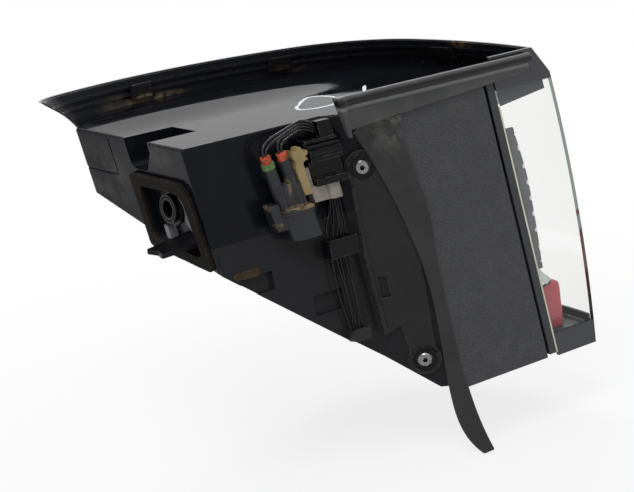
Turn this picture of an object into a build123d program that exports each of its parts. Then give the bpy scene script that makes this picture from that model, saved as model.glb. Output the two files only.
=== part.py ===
from build123d import *
import os
from math import atan2, cos, degrees, radians, sin, sqrt, tan

os.makedirs("parts", exist_ok=True)

# A wrap-round tail lamp, seen on the car: +X rearward, +Y outboard, +Z up.
# The origin is the middle of the front locator's mouth, on the housing's front face.

rake = 0.2              # forward run of the upright lines for each millimetre of rise
fit = 0.3               # room between pieces that seat on each other
far = 600.0             # reach of cutting blocks, past the whole lamp

# Plan of the rim, from the jamb round the rear corner to the nose of the wing
rim_z = 94.0
rim_start_x = 370.0
rim_start_y = -130.0
rim_heading = 79.5
rear_radius = 470.0
rear_turn = 24.0
corner_radius = 140.0
corner_turn = 57.0
side_radius = 490.0
side_turn = 34.0
nose_radius = 44.0
nose_turn = 47.0
front_reach = -140.0

# Upright section of the lens: how far the rim's plan moves rearward and outboard with height
shoulder_z = 66.0
shoulder_run = 23.0
shoulder_bulge = 5.0
belly_z = -70.0
belly_run = 49.0
belly_bulge = 8.0
foot_z = -230.0
foot_run = 63.0
foot_bulge = 6.0
overrun = 8.0

# Side outline of the lens, a drooping edge from the nose to the toe
tip_x = -36.0
brow_x = 9.0
cheek_x = 70.0
cheek_z = -40.0
chin_x = 124.0
chin_z = -95.0
toe_x = 310.0
outline_radii = (100.0, 250.0, 400.0)

lens_wall = 3.0
frame_wall = 3.0
frame_band = 32.0
frame_edge = 1.0
frame_rib = 3.0
frame_rib_height = 2.5
frame_rib_levels = (76.0, 84.0)

# Retaining clips along the wing
clip_depth = 5.0
clip_low = 72.0
clip_top = 87.0
clip_width = 24.0
clip_reach = 60.0
clip_stations = ((2, 0.68), (2, 0.1), (0, 0.8))   # arc of the rim, share of its length

# Housing
jamb_y = -104.0
panel_wall = 3.7
wall = 3.0
deck_z = 66.0
back_y = -60.0
jog_x = 155.0
panel_x = 210.0
panel_gap = 3.0
flange_x = 325.0
flange_width = 9.0
weld_width = 2.0
weld_top = 43.0
flange_top = 80.0
floor_z = -226.0
keel_x = 10.0
keel_y = -63.0
keel_z = -57.0
keel_fall = 0.72
keel_cross = 0.245
fold_z = -33.0
fold_out = 14.0
fold_drop = 120.0
fold_start_x = 12.0
fold_end_x = 160.0
edge_round = 2.5
front_outer_y = 135.0
front_corner_x = 70.0
front_corner_y = 190.0
slot_left = 42.0
slot_foot = 14.0
slot_knee_z = 57.0
slot_floor_z = 37.0
slot_round = 8.0
slot_length = 54.0
slot_wall = 3.0
pocket_depth = 5.0
vent_thick = 1.6
pad_groove_depth = 1.4
pad_groove_width = 2.6

# Front locator, its foam ring and the blade beside it
bore_radius = 8.5
bore_depth = 18.0
bush_radius = 14.0
bush_floor = 2.5
bush_groove_radius = 11.6
bush_groove_width = 1.2
bush_groove_depth = 1.6
collar_radius = 17.0
collar_height = 3.0
seat_x = 8.0
seat_wall = 4.0
foam_left = -46.0
foam_right = 51.0
foam_toe = 57.0
foam_top = 33.5
foam_low_left = -43.0
foam_low_right = -56.0
foam_crown = 17.0
window_left = -34.0
window_right = 39.0
window_toe = 45.0
window_top = 21.5
window_low_left = -32.0
window_low_right = -43.0
window_crown = 12.0
foam_thick = 5.0
foam_corner = 6.0
pad_thick = 12.0
recess_depth = 7.0
recess_rib_y = 10.0
recess_rib_width = 7.0
blade_length = 39.0
blade_thick = 5.0
blade_left = -1.0
blade_right = -40.4
blade_taper = 20.0
blade_flare = 8.0
blade_notch = 3.0
blade_z = -26.0

# Bracket on the slanting wall
bracket_wall = 3.0
bracket_rib = 2.6
bracket_rib_height = 4.0
screw_places = ((-10.0, 13.5), (34.0, -193.5))
screw_radius = 2.5
screw_head_radius = 7.2
screw_head_height = 3.6
screw_length = 13.0
screw_recess = 2.6
screw_lobe_ring = 2.0
screw_lobe = 0.75
boss_radius = 6.5
boss_length = 12.0
ear_radius = 17.0
collar_ring = 13.5
collar_lift = 1.3

# Jamb panel and rubber
panel_top = 76.0
panel_bottom = -229.0
panel_round = 1.5
seal_start_x = 131.0
seal_end_x = 366.0
seal_cap = 7.0
seal_lip = 4.0
seal_bead = 5.2
seal_bead_z = 86.0
seal_left_z = 57.0
seal_right_z = 72.0
flap_lift = 4.6
flap_thick = 3.6
flap_round = 1.4

# Connectors and module on the back
plug_gap = 2.0
module_x = 120.0
module_width = 37.0
module_low = 5.0
module_high = 49.5
module_depth = 10.0
module_lip = 16.0
lobe_radius = 7.5
lobe_z = 38.0
lip_height = 4.0
sill_lip_height = 7.0
ledge_height = 3.0
header_x = 142.0
header_top = 64.5
header_depth = 11.0
plug_lean = 0.28
plug_out = 14.0
column_x = (78.0, 95.7)
column_tops = (33.0, 38.0)
column_radius = 6.0
plug_low = -9.0
web_top = 15.0
web_depth = 9.0
lock_x = 102.6
lock_depth = 10.0
seal_radius = 5.0
seal_rise = 6.5
green_radius = 6.2
green_rise = 5.0
socket_left = 72.0
socket_width = 35.0
socket_depth = 23.0
socket_drop = 30.0
socket_wall = 2.5
socket_roof = 7.0
socket_round = 8.0
rim_reach = 1.4
rim_height = 4.0
latch_x = 60.0
latch_width = 10.5
latch_low = -27.0
latch_high = -1.0
latch_depth = 11.0
terminal_count = 4
terminal_width = 1.6
terminal_length = 16.0
white_low = -11.0
white_left = 115.5
white_middle = 133.0
white_right = 149.0
white_depth = 10.0
white_column = 13.0
white_latch_high = 24.0
lead_diameter = 2.2
lead_step = 3.4
lead_bend_x = 101.0
lead_bend_z = 63.5
lead_peak_x = 116.0
lead_peak_z = 69.5
lead_end_z = 62.0
upper_lead_count = 4
lower_lead_count = 5
strap_low = -70.0
strap_high = -52.0
strap_start_x = 126.0
strap_end_x = 159.0
strap_thick = 2.5
strap_leg = 3.0
strap_gap = 11.5
grommet_y = -110.0
grommet_drop = 12.0
grommet_height = 11.0

# Optics behind the lens
bezel_inset = 58.0
bezel_wall = 2.5
bezel_edge = 8.0
bezel_start_y = 40.0
header_z = 50.0
cheek_front_z = 41.0
cheek_rear_x = 400.0
sill_z = -211.0
sill_kerb = 6.0
strip_spine = 10.0
strip_top = 18.0
strip_low = -134.0
strip_reach = (26.0, 30.0, 27.0, 22.0)   # width of the notched strip from its top to its foot
notch_pitch = 19.0
notch_count = 8
notch_top_z = 8.0
notch_radius = 2.8
guide_width = 9.0
guide_depth = 6.0
guide_z = -26.0
guide_margin = 8.0
guide_front_x = 84.0
bar_high = -157.0
bar_front = 28.0
trim_front = 35.0
trim_high = -140.0
reflector_x = 340.0
reflector_wall = 3.0
dish_radius = 31.0
dish_depth = 22.0
dish_y = -10.0
dish_levels = (-4.0, -92.0)
plate_y = (-48.0, 22.0)
plate_z = (-130.0, 34.0)
post_radius = 4.0
emitter_radius = 4.0
board_thick = 1.6
reflex_thick = 4.0
reflex_low = -38.0
reflex_high = -14.0
reflex_front_x = 130.0
reflex_rear_x = 220.0


def raked_prism(points, low, high, inset=0.0, lean=rake):
    # Points are given where the leaning walls cross the height of the origin
    with BuildPart() as prism:
        with BuildSketch(Plane.XY.offset(low)):
            with BuildLine():
                Polyline([(x - lean * low, y) for x, y in points], close=True)
            make_face()
            if inset:
                offset(amount=-inset, kind=Kind.INTERSECTION)
        extrude(amount=(high - low) * sqrt(1 + lean**2), dir=(-lean, 0, 1))
    return prism.part


def raked_box(x_low, x_high, y_low, y_high, z_low, z_high, lean=rake):
    corners = [(x_low, y_low), (x_high, y_low), (x_high, y_high), (x_low, y_high)]
    return raked_prism(corners, z_low, z_high, lean=lean)


def rim_arcs(inset, run, bulge):
    # The rim's arcs from the jamb to the nose, drawn in by inset
    heading = radians(rim_heading)
    start = Vector(
        rim_start_x + run - inset * sin(heading), rim_start_y + bulge + inset * cos(heading)
    )
    turns = [(rear_radius, rear_turn), (corner_radius, corner_turn), (side_radius, side_turn)]
    if inset < nose_radius:
        turns.append((nose_radius, nose_turn))
    direction = Vector(cos(heading), sin(heading))
    arcs = []
    for radius, turn in turns:
        arcs.append(JernArc(start, direction, radius - inset, turn))
        start = arcs[-1] @ 1
        direction = arcs[-1] % 1
    return arcs


def plan(level, inset, run, bulge):
    # The rim's plan at one height, closed across the front
    arcs = rim_arcs(inset, run, bulge)
    start = arcs[0] @ 0
    end = arcs[-1] @ 1
    with BuildSketch(Plane.XY.offset(level)) as section:
        with BuildLine():
            add(arcs)
            Polyline(end, (front_reach, end.Y), (front_reach, start.Y), start)
        make_face()
    return section.sketch


def lamp_volume(inset):
    # Everything inside the lens's outer face, drawn in by inset
    slope = shoulder_run / (rim_z - shoulder_z)
    above = plan(rim_z + overrun, inset, -overrun * slope, 0)
    shoulder = plan(shoulder_z, inset, shoulder_run, shoulder_bulge)
    belly = plan(belly_z, inset, belly_run, belly_bulge)
    below = plan(foot_z - overrun, inset, foot_run, foot_bulge)
    with BuildPart() as volume:
        loft(sections=[shoulder, above], ruled=True)
        loft(sections=[below, belly, shoulder])
    return volume.part


def side_outline(inset):
    with BuildPart() as block:
        with BuildSketch(Plane.XZ):
            with BuildLine():
                edge = FilletPolyline(
                    (tip_x, rim_z), (brow_x, shoulder_z), (cheek_x, cheek_z), (chin_x, chin_z),
                    (toe_x, foot_z), radius=outline_radii,
                )
                Polyline(edge @ 1, (far, foot_z), (far, rim_z), edge @ 0)
            make_face()
            if inset:
                offset(amount=-inset, kind=Kind.INTERSECTION)
        extrude(amount=far, both=True)
    return block.part


def slab(low, high):
    with BuildPart() as block:
        with BuildSketch(Plane.XY.offset(low)):
            Rectangle(3 * far, 3 * far)
        extrude(amount=high - low)
    return block.part


def outboard_of(y):
    return Plane(origin=(0, y, 0), z_dir=(0, 1, 0))


def keel(lift):
    rise = Vector(keel_fall, -keel_cross, 1).normalized()
    return Plane(origin=Vector(keel_x, keel_y, keel_z) + rise * lift, z_dir=rise)


def layer(outer, inner, low, high, inboard):
    # A skin that follows the lens between two insets and two heights
    outer_volume = lamp_volume(outer)
    inner_volume = lamp_volume(inner)
    band = slab(low, high)
    with BuildPart() as skin:
        add(outer_volume)
        add(inner_volume, mode=Mode.SUBTRACT)
        add(band, mode=Mode.INTERSECT)
        split(bisect_by=outboard_of(inboard))
    return skin.part


def lead(points, diameter):
    # Straight runs with tangent arcs as large as the runs allow
    path = [Vector(*point) for point in points]
    radii = []
    for before, here, after in zip(path, path[1:], path[2:]):
        turn = radians((here - before).get_angle(after - here))
        radii.append(0.45 * min((here - before).length, (after - here).length) / tan(turn / 2))
    with BuildPart() as strand:
        with BuildLine():
            route = FilletPolyline(*path, radius=radii)
        with BuildSketch(Plane(origin=route @ 0, z_dir=route % 0)):
            Circle(diameter / 2)
        sweep()
    print("lead", round(route.length), "mm, radii", [round(r, 1) for r in radii])
    return strand.part


def ring_outline(left, right, toe, top, low_left, low_right, crown):
    # Four-sided outline on the front face, wider at its lower inboard corner
    with BuildSketch(front_plane) as face:
        with BuildLine():
            Polyline((left, top), (right, top), (toe, low_right), (left, low_left), close=True)
        make_face()
        upper_right = face.vertices().group_by(Axis.Y)[-1].sort_by(Axis.X)[-1]
        fillet(upper_right, radius=crown)
        others = face.vertices().filter_by(lambda v: v.X < left + 1 or v.Y < low_left - 1)
        fillet(others, radius=foam_corner)
    return face.sketch


def slot_profile(margin, top):
    # Section of the slot in the deck, on the front face, widened by margin
    with BuildSketch(front_plane) as face:
        with BuildLine():
            Polyline(
                (margin, top), (margin, slot_knee_z), (margin - slot_foot, slot_floor_z - margin),
                (-slot_left - margin, slot_floor_z - margin), (-slot_left - margin, top), close=True,
            )
        make_face()
        fillet(face.vertices().group_by(Axis.Y)[0], radius=slot_round)
    return face.sketch


def leaning_post(x, radius, low, high):
    # Round post of a connector, placed where its axis crosses the height of the origin
    foot = Plane(origin=(x - plug_lean * low, plug_middle, low), x_dir=(1, 0, plug_lean), z_dir=lean_up)
    with BuildPart() as post:
        with BuildSketch(foot):
            Circle(radius)
        extrude(amount=(high - low) * lean_up.length)
    return post.part


panel_back_y = jamb_y + panel_wall
panel_rear_x = flange_x - panel_gap
weld_x = flange_x + flange_width
lean_up = Vector(-plug_lean, 0, 1)
lean_across = Vector(1, 0, plug_lean).normalized()
plug_back = back_y - plug_gap
plug_middle = back_y - plug_out
slant_run = Vector(panel_x - jog_x, panel_back_y - back_y, 0)
slant = slant_run.normalized()
bracket_plane = Plane(
    origin=Vector(jog_x, back_y, 0) + slant_run / 2,
    x_dir=slant,
    z_dir=slant.cross(Vector(-rake, 0, 1)).normalized(),
)
front_plane = Plane(origin=(0, 0, 0), x_dir=(0, -1, 0), z_dir=(-1, 0, -rake))
fold_plane = Plane(origin=(0, back_y, fold_z), x_dir=(1, 0, 0), z_dir=(0, -fold_drop, fold_out))

# Clear outer lens, open at the front and over the jamb wall
lens_skin = lamp_volume(0)
lens_hollow = lamp_volume(lens_wall)
lens_outline = side_outline(0)
lens_jamb_cut = raked_box(
    front_reach, weld_x + weld_width, jamb_y - wall, jamb_y + lens_wall + fit, foot_z, rim_z
)
with BuildPart() as lens_inside:
    add(lens_hollow)
    split(bisect_by=outboard_of(jamb_y + lens_wall))
with BuildPart() as outer_lens:
    add(lens_skin)
    split(bisect_by=outboard_of(jamb_y))
    add(lens_inside.part, mode=Mode.SUBTRACT)
    add(lens_outline, mode=Mode.INTERSECT)
    add(lens_jamb_cut, mode=Mode.SUBTRACT)
outer_lens.part.label = "outer_lens"
export_step(outer_lens.part, "parts/outer_lens.step")

# Black carrier band behind the lens's edge, with two ribs along the wing
frame_outer = lens_wall + fit
frame_inner = frame_outer + frame_wall
frame_skin = layer(frame_outer, frame_inner, foot_z, rim_z, jamb_y + lens_wall + fit)
frame_limit = side_outline(frame_edge)
frame_window = side_outline(frame_band)
frame_ribs = [
    layer(frame_inner - 0.5, frame_inner + frame_rib, level, level + frame_rib_height, back_y)
    for level in frame_rib_levels
]
with BuildPart() as wing_frame:
    add(frame_skin)
    for rib in frame_ribs:
        add(rib)
    add(frame_limit, mode=Mode.INTERSECT)
    add(frame_window, mode=Mode.SUBTRACT)
wing_frame.part.label = "wing_frame"
export_step(wing_frame.part, "parts/wing_frame.step")

# Clips that grip the carrier's ribs
clip_inset = frame_inner + frame_rib + fit
clip_skin = layer(clip_inset, clip_inset + clip_depth, clip_low, clip_top, back_y)
clip_arcs = rim_arcs(clip_inset, shoulder_run / 2, shoulder_bulge / 2)
with BuildPart() as clip_places:
    with BuildSketch(Plane.XY):
        for arc, share in clip_stations:
            along = clip_arcs[arc] % share
            with Locations(clip_arcs[arc] @ share):
                Rectangle(clip_width, clip_reach, rotation=degrees(atan2(along.Y, along.X)))
    extrude(amount=rim_z)
with BuildPart() as retaining_clips:
    add(clip_skin)
    add(clip_places.part, mode=Mode.INTERSECT)
retaining_clips.part.label = "retaining_clips"
export_step(retaining_clips.part, "parts/retaining_clips.step")

# Housing tub: deck, front, back, slanting wall and jamb wall, open to the lens
housing_inset = frame_inner + fit
tub_plan = [
    (0, back_y),
    (jog_x, back_y),
    (panel_x, panel_back_y),
    (far, panel_back_y),
    (far, far),
    (front_corner_x, far),
    (front_corner_x, front_corner_y),
    (0, front_outer_y),
]
tub_solid = raked_prism(tub_plan, floor_z, deck_z)
tub_hollow = raked_prism(tub_plan, floor_z + wall, deck_z - wall, inset=wall)
lens_mouth = raked_box(
    weld_x, far, panel_back_y - wall, panel_back_y + 2 * wall, floor_z + wall, deck_z - wall
)
tub_limit = lamp_volume(housing_inset)
flange = raked_box(flange_x, weld_x, jamb_y, panel_back_y + wall, floor_z, flange_top)
deck_reach = deck_z * sqrt(1 + rake**2)
slot_block = slot_profile(slot_wall, deck_reach)
slot_space = slot_profile(0, deck_reach + 1)
module_pad = raked_box(
    module_x + 4, module_x + 16, plug_back, back_y + 1, module_low + 4, module_high - 4
)
socket_pad = raked_box(
    socket_left + socket_round, socket_left + socket_width - socket_round, plug_back, back_y + 1, fold_z,
    plug_low - 2, lean=plug_lean,
)
locator_pad = ring_outline(
    foam_left, foam_right, foam_toe, foam_top, foam_low_left, foam_low_right, foam_crown
)
locator_window = ring_outline(
    window_left, window_right, window_toe, window_top, window_low_left, window_low_right, window_crown
)
recess_rib = raked_box(
    0, recess_depth + 1, recess_rib_y, recess_rib_y + recess_rib_width, window_low_left, -collar_radius - 1
)
with BuildPart() as tub_space:
    add(tub_hollow)
    add(lens_mouth)
    split(bisect_by=keel(wall))
with BuildPart() as housing:
    add(tub_solid)
    deck_edges = faces().sort_by(Axis.Z)[-1].edges()
    upright_edges = edges().filter_by(Plane.XY, reverse=True)
    near_edges = (deck_edges + upright_edges).filter_by(lambda e: e.center().X < far / 2)
    fillet(near_edges.filter_by(lambda e: e.center().Y < far * 0.9), radius=edge_round)
    add(tub_limit, mode=Mode.INTERSECT)
    split(bisect_by=keel(0))
    add(tub_space.part, mode=Mode.SUBTRACT)
    add(flange)
    extrude(slot_block, amount=slot_length + slot_wall, dir=(1, 0, 0))
    extrude(slot_space, amount=slot_length, dir=(1, 0, 0), mode=Mode.SUBTRACT)
    # Lower part of the back, which leans out below the fold
    with BuildSketch(Plane.YZ.offset(fold_start_x)):
        with BuildLine():
            Polyline(
                (back_y + 1, fold_z), (back_y, fold_z), (back_y - fold_out, fold_z - fold_drop),
                (back_y + 1, fold_z - fold_drop), close=True,
            )
        make_face()
    extrude(amount=fold_end_x - fold_start_x)
    split(bisect_by=keel(0))
    add(module_pad)
    add(socket_pad)
    # Screw bosses behind the slanting wall
    with BuildSketch(bracket_plane.offset(-wall / 2)):
        with Locations(*screw_places):
            Circle(boss_radius)
    extrude(amount=-boss_length)
    with BuildSketch(bracket_plane.offset(1)):
        with Locations(*screw_places):
            Circle(screw_radius + fit / 2)
    extrude(amount=-screw_length - 1, mode=Mode.SUBTRACT)
    # Pad behind the foam ring, its recess, the locator's seat and the blade
    extrude(locator_pad, amount=-pad_thick)
    with BuildSketch(Plane.YZ.offset(seat_x)):
        Circle(collar_radius + wall)
    extrude(amount=seat_wall)
    extrude(locator_window, amount=-recess_depth, mode=Mode.SUBTRACT)
    add(recess_rib)
    with BuildSketch(Plane.YZ.offset(seat_x)):
        Circle(collar_radius + fit)
    extrude(amount=-4 * seat_x, mode=Mode.SUBTRACT)
    with BuildSketch(Plane.YZ.offset(seat_x - 1)):
        Circle(bush_radius + fit)
    extrude(amount=2 * pad_thick, mode=Mode.SUBTRACT)
    blade_root = pad_thick - rake * blade_z
    with BuildSketch(Plane.XY.offset(blade_z)):
        with BuildLine():
            Polyline(
                (blade_root, blade_left), (-blade_length, blade_left - blade_taper),
                (blade_notch - blade_length, (blade_left - blade_taper + blade_right - blade_flare) / 2),
                (-blade_length, blade_right - blade_flare / 2), (-blade_length, blade_right - blade_flare),
                (blade_root, blade_right), close=True,
            )
        make_face()
    extrude(amount=-blade_thick)
    # Pad outline on the front face
    with BuildSketch(front_plane):
        with Locations((-106, 26)):
            Rectangle(64, pad_groove_width)
        with Locations((-74, 44)):
            Rectangle(pad_groove_width, 38)
    extrude(amount=-pad_groove_depth, mode=Mode.SUBTRACT)
    # Two shallow pockets under the fold
    with BuildSketch(fold_plane):
        with Locations((48, -42)):
            Rectangle(36, 18)
        with Locations((124, -78)):
            Rectangle(34, 20)
    extrude(amount=-pocket_depth, mode=Mode.SUBTRACT)
housing.part.label = "housing"
export_step(housing.part, "parts/housing.step")

# Weld line between the housing's flange and the lens
weld_bead = raked_box(weld_x, weld_x + weld_width, jamb_y, jamb_y + lens_wall, floor_z, weld_top)
weld_bead.label = "weld_bead"
export_step(weld_bead, "parts/weld_bead.step")

# Foam ring and front locator
with BuildPart() as foam_seal:
    extrude(locator_pad, amount=foam_thick)
    extrude(locator_window, amount=foam_thick, mode=Mode.SUBTRACT)
foam_seal.part.label = "foam_seal"
export_step(foam_seal.part, "parts/foam_seal.step")

with BuildPart() as locator_socket:
    with BuildSketch(Plane.YZ):
        Circle(bush_radius)
    extrude(amount=bore_depth + bush_floor)
    with BuildSketch(Plane.YZ.offset(seat_x)):
        Circle(collar_radius)
    extrude(amount=-collar_height)
    with BuildSketch(Plane.YZ):
        Circle(bore_radius)
    extrude(amount=bore_depth, mode=Mode.SUBTRACT)
    with BuildSketch(Plane.YZ):
        Circle(bush_groove_radius + bush_groove_width / 2)
        Circle(bush_groove_radius - bush_groove_width / 2, mode=Mode.SUBTRACT)
    extrude(amount=bush_groove_depth, mode=Mode.SUBTRACT)
locator_socket.part.label = "locator_socket"
export_step(locator_socket.part, "parts/locator_socket.step")

# Vent on the lower back
with BuildPart() as vent_filter:
    with BuildSketch(fold_plane):
        with Locations((38, -30)):
            SlotOverall(29, 8)
    extrude(amount=vent_thick)
    chamfer(faces().sort_by(Axis.Y)[0].edges(), length=vent_thick / 2)
vent_filter.part.label = "vent_filter"
export_step(vent_filter.part, "parts/vent_filter.step")

# Bracket, with a stiffening rib along its free edge, two ears and a window
with BuildPart() as bracket:
    with BuildSketch(bracket_plane) as bracket_face:
        with BuildLine():
            Polyline(
                (-24, 20), (-21.5, -21), (-16.5, -80), (-10.5, -122), (-3.5, -165), (13, -155),
                (20, -186), (46, -186), (40, -110), (24, 30), (-14, 30), close=True,
            )
        make_face()
        with Locations(*screw_places):
            Circle(ear_radius)
        with BuildLine():
            Polyline((-5, -100), (3, -102), (6, -124), (-3.5, -124), close=True)
        make_face(mode=Mode.SUBTRACT)
        with Locations(*screw_places):
            Circle(screw_radius + fit, mode=Mode.SUBTRACT)
    extrude(amount=bracket_wall)
    with BuildSketch(bracket_plane.offset(bracket_wall)):
        with BuildLine():
            Polyline((-20.5, -7), (-19, -21), (-14, -80), (-8, -122), (-2, -158))
            offset(amount=bracket_rib / 2, side=Side.BOTH)
        make_face()
    extrude(amount=bracket_rib_height)
bracket.part.label = "bracket"
export_step(bracket.part, "parts/bracket.step")

# Screws with a six-lobed recess, and the collars round their heads
with BuildPart() as bracket_screws:
    with BuildSketch(bracket_plane.offset(bracket_wall)):
        with Locations(*screw_places):
            Circle(screw_head_radius)
    extrude(amount=screw_head_height)
    chamfer(edges().group_by(Axis(bracket_plane.origin, bracket_plane.z_dir))[-1], length=1.2)
    with BuildSketch(bracket_plane.offset(bracket_wall)):
        with Locations(*screw_places):
            Circle(screw_radius)
    extrude(amount=-screw_length)
    with BuildSketch(bracket_plane.offset(bracket_wall + screw_head_height)):
        for place in screw_places:
            with Locations(place):
                Circle(screw_lobe_ring)
                with PolarLocations(screw_lobe_ring, 6):
                    Circle(screw_lobe)
    extrude(amount=-screw_recess, mode=Mode.SUBTRACT)
bracket_screws.part.label = "bracket_screws"
export_step(bracket_screws.part, "parts/bracket_screws.step")

with BuildPart() as screw_collars:
    with BuildSketch(bracket_plane.offset(bracket_wall)):
        with Locations(*screw_places):
            Circle(collar_ring)
            Circle(screw_head_radius + fit, mode=Mode.SUBTRACT)
    extrude(amount=collar_lift)
screw_collars.part.label = "screw_collars"
export_step(screw_collars.part, "parts/screw_collars.step")

# Grained panel of the door jamb
panel_block = raked_box(panel_x, panel_rear_x, jamb_y, panel_back_y, panel_bottom, panel_top)
with BuildPart() as jamb_panel:
    add(panel_block)
    fillet(faces().sort_by(Axis.Y)[0].edges(), radius=panel_round)
jamb_panel.part.label = "jamb_panel"
export_step(jamb_panel.part, "parts/jamb_panel.step")

# Rubber strip along the panel's top: a lip on the panel, a round bead above and an end cap
lip_slope = (seal_right_z - seal_left_z) / (seal_end_x - seal_start_x)
lip_plane = Plane(origin=(seal_start_x, jamb_y, seal_left_z), z_dir=(-lip_slope, 0, 1))
with BuildPart() as jamb_top_seal:
    with BuildSketch(Plane.YZ.offset(seal_start_x)):
        with Locations((jamb_y - seal_lip / 2, (seal_left_z + seal_bead_z) / 2)):
            Rectangle(seal_lip, seal_bead_z - seal_left_z)
        with Locations((jamb_y - seal_bead, seal_bead_z)):
            Circle(seal_bead)
    extrude(amount=seal_end_x - seal_start_x)
    split(bisect_by=lip_plane)
    with BuildSketch(Plane.YZ.offset(seal_start_x - seal_cap)):
        with BuildLine():
            Polyline(
                (jamb_y, seal_left_z - seal_cap), (jamb_y, seal_bead_z + seal_bead),
                (jamb_y - 2 * seal_bead - 1, seal_bead_z + seal_bead),
                (jamb_y - 2 * seal_bead - 1, seal_bead_z - seal_bead),
                (jamb_y - seal_lip - 2, seal_left_z - seal_cap), close=True,
            )
        make_face()
    extrude(amount=seal_cap + 1)
    fillet(faces().sort_by(Axis.X)[0].edges(), radius=seal_cap / 3)
jamb_top_seal.part.label = "jamb_top_seal"
export_step(jamb_top_seal.part, "parts/jamb_top_seal.step")

# Rubber flap beside the panel, running down to a curved tail
with BuildPart() as jamb_side_seal:
    with BuildSketch(bracket_plane.offset(flap_lift)):
        with BuildLine():
            left_edge = Spline(
                (-16, 49), (5, 6), (30, -62), (43, -113), (49, -160), (56, -234), (67, -279), (85, -304)
            )
            right_edge = Spline(
                (96, -300), (83, -262), (74, -224), (61, -140), (54, -80), (48, -24), (36, 20), (31, 46)
            )
            Line(left_edge @ 1, right_edge @ 0)
            Polyline(right_edge @ 1, (31, 70), (10, 70), left_edge @ 0)
        make_face()
    extrude(amount=flap_thick)
    flap_axis = Axis(bracket_plane.origin, bracket_plane.z_dir)
    fillet(faces().sort_by(flap_axis)[-1].edges().sort_by(SortBy.LENGTH)[-2:], radius=flap_round)
    split(bisect_by=lip_plane, keep=Keep.BOTTOM)
jamb_side_seal.part.label = "jamb_side_seal"
export_step(jamb_side_seal.part, "parts/jamb_side_seal.step")

# Driver module: a half-round lobe between a ledge and two lips, and a lead header above
module_reach = raked_box(
    module_x, module_x + module_width, plug_back - far, plug_back, module_low, module_high
)
header_block = raked_box(
    header_x, module_x + module_width, back_y - header_depth, plug_back, module_high - 1, header_top
)
lobe_low = lobe_z - lobe_radius
with BuildPart() as driver_module:
    with BuildSketch(Plane.YZ):
        with Locations((plug_back, module_low)):
            Rectangle(module_depth, module_high - module_low, align=(Align.MAX, Align.MIN))
            Rectangle(module_lip, sill_lip_height, align=(Align.MAX, Align.MIN))
        with Locations((plug_back, lobe_low - lip_height / 2)):
            Rectangle(module_lip, lip_height, align=(Align.MAX, Align.MIN))
        with Locations((plug_back, module_high)):
            Rectangle(module_depth + ledge_height, ledge_height, align=(Align.MAX, Align.MAX))
        with Locations((plug_back - module_depth, lobe_z)):
            Circle(lobe_radius)
    extrude(amount=far)
    add(module_reach, mode=Mode.INTERSECT)
    add(header_block)
driver_module.part.label = "driver_module"
export_step(driver_module.part, "parts/driver_module.step")

# Pale plug under the module: a flat half, a round-fronted half and a latch arm
white_flat = raked_box(white_left, white_middle, plug_back - white_depth, plug_back, white_low, module_low)
white_round = raked_box(
    white_middle, white_right, plug_back - white_column, plug_back, white_low, module_low
)
white_latch = raked_box(
    white_left - fit, module_x - 2 * fit, plug_back - white_depth + 1, plug_back - 1, white_low + 4,
    white_latch_high,
)
with BuildPart() as module_plug:
    add(white_round)
    fillet(faces().sort_by(Axis.Y)[0].edges().filter_by(Axis((0, 0, 0), (-rake, 0, 1))), radius=5)
    add(white_flat)
    add(white_latch)
module_plug.part.label = "module_plug"
export_step(module_plug.part, "parts/module_plug.step")

# Harness plug: two posts with a web between them, cut level where they stand on the socket's rim
posts = [
    leaning_post(x, column_radius, plug_low - column_radius, high)
    for x, high in zip(column_x, column_tops)
]
plug_web = raked_box(
    column_x[0], lock_x, plug_middle - web_depth / 2, plug_middle + web_depth / 2, plug_low, web_top,
    lean=plug_lean,
)
with BuildPart() as harness_plug:
    for post in posts:
        add(post)
    split(bisect_by=Plane.XY.offset(plug_low), keep=Keep.TOP)
    add(plug_web)
harness_plug.part.label = "harness_plug"
export_step(harness_plug.part, "parts/harness_plug.step")

green_seal = leaning_post(column_x[0], green_radius, column_tops[0], column_tops[0] + green_rise)
green_seal.label = "green_seal"
export_step(green_seal, "parts/green_seal.step")

seal_feet = [column_tops[0] + green_rise, column_tops[1]]
seals = [
    leaning_post(x, seal_radius, foot, foot + seal_rise) for x, foot in zip(column_x, seal_feet)
]
wire_seals = Compound(children=seals, label="wire_seals")
export_step(wire_seals, "parts/wire_seals.step")

# Lock slide beside the plug, forked and hooked at its top
lock_profile = [
    (0, 0.5), (9.2, 0.5), (9.8, 30), (11.4, 32.5), (17, 34), (14.4, 37), (18, 38.5), (19.2, 42.5),
    (14, 41.5), (13, 46.5), (9, 46.5), (7, 43), (2.4, 45), (0.6, 38), (2, 34), (0, 27),
]
with BuildPart() as plug_lock:
    with BuildSketch(Plane.XZ.offset(lock_depth / 2 - plug_middle)):
        with BuildLine():
            Polyline([(lock_x + x - plug_lean * z, z) for x, z in lock_profile], close=True)
        make_face()
    extrude(amount=-lock_depth)
plug_lock.part.label = "plug_lock"
export_step(plug_lock.part, "parts/plug_lock.step")

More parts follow.
